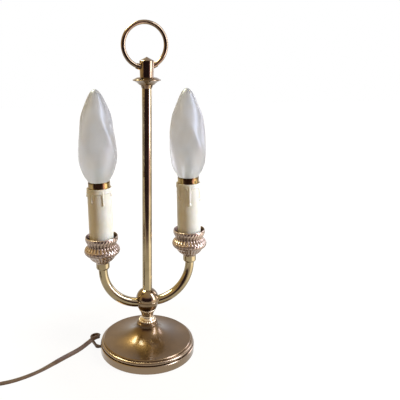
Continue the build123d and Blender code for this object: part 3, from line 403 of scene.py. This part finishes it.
across = ramp(tree, facing_axes["X"], (-0.6, 0.5))
cast = tint(tree, dark, tint(tree, across, "#FFE6AE", "#F6F6FF"), dark_tint)
bare = reckon(tree, "MAXIMUM", rays["Is Camera Ray"], rays["Is Transmission Ray"])
strength = blend(tree, bare, lit, 1.0)
hue = tint(tree, bare, cast, "#FFFFFF")
background = node(tree, "Background", {"Color": hue, "Strength": strength}).outputs[0]
node(tree, "OutputWorld", {"Surface": background})


def soft_box(name, place, target, size, power, colour, on_matt=True, on_glossy=True):
    """An area light that faces a point, for matt surfaces, for glossy ones or for both."""
    lamp = bpy.data.lights.new(name, "AREA")
    lamp.shape = "RECTANGLE"
    lamp.size = size[0]
    lamp.size_y = size[1]
    lamp.energy = power
    lamp.color = srgb(colour)[:3]
    box = bpy.data.objects.new(name, lamp)
    box.location = place
    box.rotation_euler = (Vector(place) - Vector(target)).to_track_quat("Z", "Y").to_euler()
    box.visible_diffuse = on_matt
    box.visible_glossy = on_glossy
    bpy.context.scene.collection.objects.link(box)


soft_box("window_right", (0.95, -0.55, 0.58), (0, 0, 0.16), (0.32, 1.25), 23.0, "#D2DFFF")
soft_box("window_far_right", (0.85, 0.30, 0.40), (0, 0, 0.10), (0.25, 0.45), 2.2, "#E6E8FF")
soft_box(
    "lamp_left", (-0.78, -0.14, 0.66), (0, 0, 0.05), (0.36, 0.36), 1.4, "#FFDC94",
    on_glossy=False,
)
soft_box(
    "lamp_above", (-0.32, 0.37, 0.98), (0, 0, 0.05), (0.42, 0.42), 20.0, "#EAF0D8",
    on_matt=False,
)
bpy.context.scene.view_settings.view_transform = "Standard"


def smooth_profile(points, steps):
    """A finer outline through (radius, height) points, rounded between them."""
    finer = []
    for i in range(len(points) - 1):
        p0 = points[max(i - 1, 0)]
        p1, p2 = points[i], points[i + 1]
        p3 = points[min(i + 2, len(points) - 1)]
        for step in range(steps):
            t = step / steps
            finer.append(tuple(
                0.5 * (2 * b + (c - a) * t + (2 * a - 5 * b + 4 * c - d) * t * t
                       + (3 * b - a - 3 * c + d) * t ** 3)
                for a, b, c, d in zip(p0, p1, p2, p3)
            ))
    finer.append(tuple(points[-1]))
    return finer


def turned(outline, around, shape, place):
    """Rings turned from an outline in mm; shape moves a point by its angle, radius and height."""
    rings = []
    for radius, height in outline:
        ring = []
        for i in range(around):
            angle = 2 * pi * i / around
            r, h = shape(angle, radius, height)
            ring.append(place @ Vector((r * cos(angle) / 1000, r * sin(angle) / 1000, h / 1000)))
        rings.append(ring)
    return rings


def moulding(name, middle, height, around, about_count, swell):
    """A closed ring whose thickness changes with the place along it and about it."""
    rings = []
    for i in range(around):
        angle = 2 * pi * i / around
        ring = []
        for j in range(about_count):
            about = 2 * pi * j / about_count
            thick = swell(angle, about)
            r = middle + thick * cos(about)
            h = height + thick * sin(about)
            ring.append(Vector((r * cos(angle), r * sin(angle), h)) / 1000)
        rings.append(ring)
    return skin(name, rings, closed_along=True)


def dress(names, made):
    """Give CAD nodes a finish."""
    for name in names:
        for material_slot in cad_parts[name].material_slots:
            material_slot.material = made


# ---- Base: spun brass shell over a cast weight, with a rope bead rolled round its edge.
# Brown lacquer over satin brass, with a painted highlight along the bead and the rim, which is also
# smoother there.
base_radius = 52.5
painted_highlight_band = (base_radius - 4.6, base_radius - 2.6)
most_painted_highlight = 0.8
highlight_band_roughness = 0.17
satin_brass, tree, shader, place = finish("spun_lacquered_brass", "#7B6443", 0.27, 1.0)
lacquer = tint(tree, blotch(tree, place, 22.0, 0.35, 0.7), "#5C4425", "#6C5230")
level_place = reckon_vector(tree, "MULTIPLY", place, (1, 1, 0))
from_axis = reckon_vector(tree, "LENGTH", level_place)
# painted highlight: the base colour turns lighter in a band along the bead and the rim
painted_highlight = ramp(tree, from_axis, painted_highlight_band, (0.0, most_painted_highlight), smooth=True)
tree.links.new(tint(tree, painted_highlight, lacquer, "#927C62"), shader.inputs["Base Color"])
rough = ramp(tree, blotch(tree, place, 9.0, 0.3, 0.8, 4.0), wanted=(0.30, 0.37))
tree.links.new(blend(tree, painted_highlight, rough, highlight_band_roughness), shader.inputs["Roughness"])
coat(shader, 0.5, 0.14)
dress(["base_shell"], satin_brass)

strands = 150


def strand_swell(angle, about):
    """The rope bead's thickness, with shallow slanting strands."""
    slant = angle * strands - about * 1.2
    return 1.84 + 0.05 * abs(cos(slant / 2))


rope_mesh = moulding("rope_bead", base_radius - 2.7, 10.0, strands * 6, 20, strand_swell)
put("rope_bead", rope_mesh, satin_brass)

# ---- Hidden foot: felt pad, steel plate and screws, cast-iron weight, nut and tube.
# Pressed and cast parts that only show from below or with the base opened.
felt, tree, shader, place = finish("pressed_green_felt", "#2F4A36", 0.95)
fibres = blotch(tree, place, 0.7, 0.3, 0.7, 6.0)
colour_between(tree, shader, fibres, "#263D2C", "#3B5A43")
relief(tree, shader, fibres, 0.2)
dress(["felt_pad"], felt)

zinc_steel, tree, shader, place = finish("zinc_plated_steel", "#A9A8A3", 0.34, 1.0)
colour_between(tree, shader, blotch(tree, place, 3.0, 0.3, 0.7), "#989792", "#B8B6AF")
relief(tree, shader, blotch(tree, place, 0.4, 0.3, 0.7), 0.01)
dress(["base_plate", "base_nut", "base_screws", "base_rod", "stem_rod"], zinc_steel)
dress(["cup_nuts", "wire_joints", "left_holder_tube", "right_holder_tube"], zinc_steel)

sand_iron, tree, shader, place = finish("sand_cast_iron", "#4A4846", 0.7, 0.6)
grit = blotch(tree, place, 0.8, 0.3, 0.7, 6.0)
colour_between(tree, shader, grit, "#3D3B39", "#575450")
relief(tree, shader, grit, 0.25)
dress(["base_weight"], sand_iron)

# ---- Stem, arms and collar nuts: drawn brass tube under clear lacquer, polished by handling.
# Even tan with slight ageing, and smooth enough to mirror the room.
lacquered, tree, shader, place = finish("lacquered_brass", "#9A8763", 0.10, 1.0)
colour_between(tree, shader, blotch(tree, place, 14.0, 0.35, 0.7), "#8E7C59", "#A18F6C")
rough_between(tree, shader, blotch(tree, place, 5.0, 0.3, 0.8, 5.0), 0.10, 0.17)
coat(shader, 0.3, 0.05)
relief(tree, shader, blotch(tree, place, 6.0, 0.3, 0.7, 1.0), 0.008)
dress(["stem_tube", "left_arm", "right_arm", "left_arm_collar", "right_arm_collar"], lacquered)

# ---- Cluster, collar disc, boss and ring: cast brass under browner lacquer.
# A little less smooth than the tubes, so what it mirrors is softer.
cast_brass, tree, shader, place = finish("cast_lacquered_brass", "#7C674B", 0.15, 1.0)
cast_tone = blotch(tree, place, 10.0, 0.35, 0.7)
colour_between(tree, shader, cast_tone, "#745F43", "#866F52")
coat(shader, 0.4, 0.06)
relief(tree, shader, cast_tone, 0.01)
dress(["cluster_bowl", "cluster_cap", "collar_disc", "finial_boss", "carry_ring"], cast_brass)

# ---- Neck: a turned spool between two rings of round beads.
# Its brass is painted paler than the brass above and below it, as painted light on a part that
# mirrors dark surroundings.
painted_light_brass, tree, shader, place = finish("lacquered_brass_painted_light", "#C4AE8C", 0.26, 1.0)
neck_tone = blotch(tree, place, 3.0, 0.35, 0.7)
colour_between(tree, shader, neck_tone, "#CDB794", "#DCCAAC")
coat(shader, 0.3)
relief(tree, shader, neck_tone, 0.01)
dress(["neck_spool", "lower_bead_ring", "upper_bead_ring"], painted_light_brass)


def beaded_ring(name, middle, radius, height, beads):
    """A ring of round beads strung against one another."""

    def bead_swell(angle, about):
        """The string's thickness, pinched between the beads."""
        return radius * (0.72 + 0.30 * abs(sin(angle * beads / 2)) ** 0.6)

    mesh = moulding(name, middle, height, beads * 8, 14, bead_swell)
    put(name, mesh, painted_light_brass)


beaded_ring("lower_beads", 8.6, 1.2, 32.9, 26)
beaded_ring("upper_beads", 8.3, 1.15, 45.5, 25)

# ---- Candle axes: each arm's tip, the way its candle leans from upright, and the angle of its
# bulb's pins in degrees. What an arm carries is made upright at its tip and then leaned.
candles = {
    "left": (Vector((-0.0495462, 0, 0.099)), Vector((-0.038388, 0, 0.999263)), -115.0),
    "right": (Vector((0.0493464, 0, 0.099)), Vector((-0.020942, 0, 0.999781)), -92.0),
}


def candle_place(side):
    """The matrix that sets a piece made about +Z on an arm's tip."""
    foot, up, _ = candles[side]
    across = Vector((0, 1, 0)).cross(up)
    turn = Matrix((across, Vector((0, 1, 0)), up)).transposed().to_4x4()
    return Matrix.Translation(foot) @ turn


# ---- Cups: cast brass, gilded, with gadroons from lip to bulge and leaves on the bowl.
# Painted shade darkens every hollow, the band under the beads and the inside; the ridges keep the
# plain gilt colour.
gilt, tree, shader, place = finish("cast_gilt_brass", "#B59F7E", 0.2, 1.0)
painted_hollow_shade = node(tree, "VertexColor", layer_name="painted_hollow_shade").outputs["Color"]
colour_between(tree, shader, painted_hollow_shade, "#B09A86", "#3F2A22")
pitted = blotch(tree, place, 1.2, 0.3, 0.7, 5.0)
rough_between(tree, shader, pitted, 0.22, 0.32)
coat(shader, 0.2)
relief(tree, shader, pitted, 0.01)

cup_outside = [
    (7.6, 4.6), (8.3, 5.6), (9.6, 6.8), (11.45, 8.0), (12.65, 9.2), (13.6, 10.3), (14.45, 11.5),
    (15.15, 12.7), (16.5, 13.8), (18.0, 15.0), (18.85, 16.2), (19.45, 17.3), (19.65, 18.5),
    (19.45, 19.7), (18.9, 20.8), (18.15, 22.0), (16.75, 23.2), (15.7, 24.3), (15.6, 25.5),
    (16.15, 26.7), (16.6, 27.8), (17.2, 29.0), (17.75, 30.2), (18.05, 31.5), (17.95, 32.6),
    (17.75, 33.9), (17.4, 34.5),
]
cup_inside = [
    (17.0, 34.45), (16.4, 33.0), (15.7, 31.0), (14.8, 28.5), (14.2, 26.0), (14.0, 22.0),
    (13.95, 13.6), (13.0, 13.45), (5.4, 13.4), (5.2, 13.2), (5.2, 4.7),
]
gadroons = 28
leaves = 24
cup_foot, bead_foot, gadroon_foot, gadroon_top = 4.6, 16.8, 20.2, 33.6
bead_row = 3.4
bead_depth = leaf_depth = 0.55
gadroon_depth, scallop_depth, scallop_height = 0.70, 0.40, 23.0
full_shade_depth = 0.85
under_beads, under_beads_shade = (16.2, 17.2), 0.6
inside_shade = 0.7


def cup_relief(angle, radius, height):
    """Gadroons from the lip down to scallops on the bulge, beads under it, leaves on the bowl."""
    if height > gadroon_top or radius < 7:
        return radius, height
    if height >= gadroon_foot:
        top = min(1.0, (gadroon_top - height) / 1.6)
        foot = min(1.0, (height - gadroon_foot) / 1.0)
        scallop = scallop_depth * exp(-((height - scallop_height) / 3.5) ** 2)
        ridge = abs(sin(gadroons * (angle + 0.055 * sin(height / 3.2)) / 2)) ** 0.6
        return radius - (gadroon_depth + scallop) * top * foot * (1 - ridge), height
    if height >= bead_foot:
        bead = abs(cos(gadroons * angle / 2)) ** 0.5
        bead *= sin(pi * (height - bead_foot) / bead_row) ** 0.5
        return radius - bead_depth * (1 - bead), height
    ridge = abs(sin(leaves * angle / 2)) ** 0.8
    fade = min(1.0, (height - cup_foot) / 1.5) * min(1.0, (bead_foot - height) / 1.2)
    return radius - fade * leaf_depth * (1 - ridge), height


def unmoved(angle, radius, height):
    """The plain turned surface inside a cup."""
    return radius, height


def cup_painted_shade(radius, height, moved):
    """How dark the painted shade is, from how far the surface is let in."""
    shade = min(1.0, max(0.0, (radius - moved) / full_shade_depth))
    if under_beads[0] < height < under_beads[1]:
        shade = max(shade, under_beads_shade)
    return shade


around = gadroons * 12
outside = smooth_profile(cup_outside, 4)
inside = smooth_profile(cup_inside, 2)
# painted shade for each point of the cup: from its relief outside, one even value inside
shades = [
    cup_painted_shade(radius, height, cup_relief(2 * pi * i / around, radius, height)[0])
    for radius, height in outside for i in range(around)
]
shades += [inside_shade] * (len(inside) * around)
for side in candles:
    place = candle_place(side)
    rings = turned(outside, around, cup_relief, place) + turned(inside, around, unmoved, place)
    mesh = skin(side + "_cast_cup", rings, closed_along=True)
    layer = mesh.color_attributes.new("painted_hollow_shade", "FLOAT_COLOR", "POINT")
    for i, value in enumerate(shades):
        layer.data[i].color = (value, value, value, 1)
    cup = put(side + "_cast_cup", mesh, gilt)
    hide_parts(side + "_cup")

# ---- Bayonet holders and bulb caps: drawn and turned brass, bright under old lacquer.
# The ring shows between sleeve and bulb, with the dark room mirrored in it.
drawn_brass, tree, shader, place = finish("drawn_brass", "#A8944E", 0.14, 1.0)
colour_between(tree, shader, blotch(tree, place, 7.0, 0.4, 0.75), "#A88F5A", "#7C5F3A")
relief(tree, shader, blotch(tree, place, 0.4, 0.3, 0.7, stretch=(0.3, 0.3, 1)), 0.003)
dress(["lampholder_terminals", "switch_contacts"], drawn_brass)
for side in candles:
    for part in ("_holder_cap", "_holder_shell", "_plungers", "_bulb_cap"):
        dress([side + part], drawn_brass)

steatite, tree, shader, place = finish("glazed_steatite", "#E8E4DA", 0.3)
colour_between(tree, shader, blotch(tree, place, 0.6, 0.55, 0.7), "#ECE8DF", "#CFC7B4")
dress(["left_holder_insert", "right_holder_insert"], steatite)

vitrite, tree, shader, place = finish("black_vitrite", "#17151A", 0.12)
colour_between(tree, shader, blotch(tree, place, 2.0, 0.3, 0.8), "#100E13", "#2A2630")
dress(["left_bulb_base", "right_bulb_base"], vitrite)

clear_glass, tree, shader, place = finish("clear_lamp_glass", "#E9EDEC", 0.05)
shader.inputs["Transmission Weight"].default_value = 0.9
relief(tree, shader, blotch(tree, place, 4.0, 0.3, 0.7), 0.02)
dress(["left_bulb_mount", "right_bulb_mount"], clear_glass)

core_pvc, tree, shader, place = finish("extruded_core_pvc", "#6E4A2A", 0.45)
colour_between(tree, shader, blotch(tree, place, 5.0, 0.3, 0.7), "#644326", "#79532F")
dress(["base_wires", "left_arm_wires", "right_arm_wires"], core_pvc)

# ---- Springs under the contact plungers: five turns of plated wire in each bore.
# On the lamp they shorten as a plunger goes down; here they stay at full length, and show only with
# the bulb out.
spring_foot, spring_top, spring_wire = 66.5, 73.9, 0.4
spring_radius, spring_turns, plunger_spacing, plunger_stroke = 1.4, 5, 9.0, 2.0
steps_per_turn, wire_sides = 24, 8
spring_steps = spring_turns * steps_per_turn
for side in candles:
    foot, up, pin_angle = candles[side]
    place = candle_place(side)
    pair = bmesh.new()
    for spot in (-plunger_spacing / 2, plunger_spacing / 2):
        bore = Matrix.Rotation(radians(pin_angle + 90), 3, "Z") @ Vector((spot, 0, 0))
        rings = []
        for step in range(spring_steps + 1):
            about = 2 * pi * step / steps_per_turn
            outward = Vector((cos(about), sin(about), 0))
            climb = (spring_top - spring_foot - spring_wire) * step / spring_steps
            rise = Vector((0, 0, spring_foot + spring_wire / 2 + climb))
            middle = bore + outward * spring_radius + rise
            ring = []
            for i in range(wire_sides):
                turn = 2 * pi * i / wire_sides
                spoke = outward * cos(turn) + Vector((0, 0, sin(turn)))
                ring.append(place @ ((middle + spoke * spring_wire / 2) / 1000))
            rings.append(ring)
        pair.from_mesh(skin(side + "_spring_wire", rings))
    mesh = bpy.data.meshes.new(side + "_coil_springs")
    pair.to_mesh(mesh)
    pair.free()
    springs = put(side + "_coil_springs", mesh, zinc_steel)
    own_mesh(springs)
    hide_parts(side + "_springs")

# ---- Candle sleeves: card tubes dipped in cream wax, with a rolled lip and a few drips.
# Waxed skin is smooth, a little translucent and slightly cloudy in its cream.
wax, tree, shader, place = finish("dipped_cream_wax", "#F4EDD4", 0.38)
colour_between(tree, shader, blotch(tree, place, 11.0, 0.35, 0.7), "#F5ECD0", "#F1E6C2")
shader.inputs["Subsurface Weight"].default_value = 0.15
shader.inputs["Subsurface Radius"].default_value = (0.004, 0.003, 0.0015)
coat(shader, 0.08)
relief(tree, shader, blotch(tree, place, 3.0, 0.3, 0.7), 0.05)
sleeve_foot, sleeve_top = 13.9, 88.55
sleeve_bore, sleeve_radius = 12.25, 13.2
# each drip: degrees from the candle's front, length in mm below the lip, width in mm
drips = {
    "left": [
        (-40, 15.0, 1.7), (15, 18.0, 1.5), (64, 9.0, 1.8),
        (115, 14.0, 2.0), (190, 18.0, 2.2), (255, 11.0, 2.0),
    ],
    "right": [
        (-47, 20.0, 2.4), (5, 24.0, 2.4), (69, 20.0, 2.4),
        (128, 12.0, 2.0), (180, 21.0, 2.2), (245, 14.0, 2.0),
    ],
}
front_angles = {"left": radians(-96.7), "right": radians(-106.5)}
waviness_seeds = {"left": 4.2, "right": 9.1}
skirt_length, skirt_waviness = 5.2, 1.2
skirt_depth, edge_depth, drip_depth, drop_depth = 0.50, 0.34, 0.60, 1.05
wax_rows = 110
sleeve_outline = [(sleeve_bore, sleeve_foot), (sleeve_radius, sleeve_foot)]
for i in range(1, wax_rows):
    climb = (sleeve_top - 1.2 - sleeve_foot) * (i / (wax_rows - 1)) ** 0.7
    sleeve_outline.append((sleeve_radius, sleeve_foot + climb))
sleeve_outline += [(13.15, 87.9), (12.9, 88.35), (12.6, 88.55), (12.3, 88.35), (12.25, 87.6)]

for side in candles:

    def waxed(angle, radius, height, side=side):
        """The sleeve's skin with its lip and drips."""
        if radius < 12.5:
            return radius, height
        below = sleeve_top - height
        around_lip = Vector((cos(angle) * 1.6, sin(angle) * 1.6, waviness_seeds[side]))
        skirt = skirt_length + skirt_waviness * noise(around_lip)
        thick = 0.0
        for offset, length, width in drips[side]:
            turn = angle - front_angles[side] - radians(offset)
            arc = ((turn + pi) % (2 * pi) - pi) * sleeve_radius
            drawn_down = exp(-((abs(arc) / (0.55 * width)) ** 1.6))
            skirt = max(skirt, skirt_length + (length - skirt_length) * drawn_down)
            if below < length:
                run = exp(-((arc / (0.5 * width)) ** 2)) * min(1.0, below / 4)
                thick = max(thick, drip_depth * run)
            drop = hypot(arc, below - length + 1.3) / (0.7 + 0.5 * width)
            if drop < 1:
                thick = max(thick, drop_depth * (1 - drop ** 2) ** 0.5)
        covered = min(1.0, max(0.0, (skirt - below) / 0.6))
        edge = edge_depth * exp(-(((skirt - below - 0.8) / 0.8) ** 2))
        return radius + covered * skirt_depth + edge + thick, height

    rings = turned(sleeve_outline, 240, waxed, candle_place(side))
    mesh = skin(side + "_waxed_sleeve", rings, closed_along=True)
    body = side + "_candle_sleeve"
    sleeve = put(side + "_waxed_sleeve", mesh, wax, body=body)
    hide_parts(side + "_sleeve")

# ---- Bulbs: blown flame glass with broad twisted lobes, etched to a pearly satin.
# The etched skin spreads light and keeps soft window shapes on its ridges.
satin_glass, tree, shader, place = finish("etched_satin_glass", "#D8D7D6", 0.42)
colour_between(tree, shader, blotch(tree, place, 16.0, 0.35, 0.7), "#CCCAC7", "#C8C1B7")
shader.inputs["Transmission Weight"].default_value = 0.85
coat(shader, 0.25, 0.22)
relief(tree, shader, blotch(tree, place, 5.0, 0.3, 0.7, 1.0), 0.05)
glass_foot = 95.2
glass_height = 100
glass_profile = [
    (10.4, -1.2), (11.7, 0.6), (13.2, 2.8), (15.8, 7.0), (17.7, 11.5), (19.2, 16.0),
    (20.25, 20.5), (21.0, 25.0), (21.5, 29.5), (21.75, 34.0), (21.75, 38.5), (21.55, 43.0),
    (21.1, 47.0), (20.35, 52.0), (19.45, 56.5), (18.65, 61.0), (17.85, 65.5), (16.8, 70.0),
    (15.4, 74.5), (13.7, 79.0), (11.8, 83.5), (9.9, 88.0), (7.7, 92.5), (5.2, 96.4),
    (2.7, 98.8), (0.9, 99.6), (0.05, 99.68),
]
lobes = 4
lobe_depth, widest_radius = 1.7, 22
whole_twist = radians(150)
lobe_phases = {"left": radians(-20), "right": radians(10)}
outline = [(r, glass_foot + h) for r, h in smooth_profile(glass_profile, 4)]
for side in candles:

    def twisted(angle, radius, height, phase=lobe_phases[side]):
        """Broad lobes that turn about the flame's axis as they climb."""
        share = max(0.0, min(1.0, (height - glass_foot) / glass_height))
        strength = lobe_depth * sin(pi * share) ** 0.8 * (radius / widest_radius)
        turn = lobes * (angle + whole_twist * share + phase)
        wave = 0.5 + 0.5 * cos(turn + 0.45 * sin(turn))
        return radius - strength * (1 - wave), height

    mesh = skin(side + "_flame_glass", turned(outline, 192, twisted, candle_place(side)))
    body = side + "_bulb"
    glass = put(side + "_flame_glass", mesh, satin_glass, body=body)
    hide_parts(side + "_bulb_glass")

# ---- Switch and plug on the lead: moulded brown phenolic, glossy and faintly marbled.
# The rocker is darker than its case, and the plug has two plain round nickel-plated pins.
phenolic, tree, shader, place = finish("moulded_brown_phenolic", "#3A281C", 0.22)
colour_between(tree, shader, blotch(tree, place, 9.0, 0.35, 0.7, 5.0), "#2F2017", "#4A3424")
relief(tree, shader, blotch(tree, place, 1.0, 0.3, 0.7), 0.01)
dress(["switch_case", "cord_grommet", "cord_grip", "plug_body"], phenolic)
rocker_black, tree, shader, place = finish("moulded_dark_rocker", "#1E1612", 0.3)
colour_between(tree, shader, blotch(tree, place, 2.0, 0.5, 0.8), "#1A130F", "#33271F")
dress(["switch_rocker"], rocker_black)
nickel, tree, shader, place = finish("nickel_plated_brass", "#C9C8C4", 0.2, 1.0)
colour_between(tree, shader, blotch(tree, place, 1.5, 0.5, 0.8), "#CBCAC6", "#B9A67C")
dress(["plug_pins"], nickel)
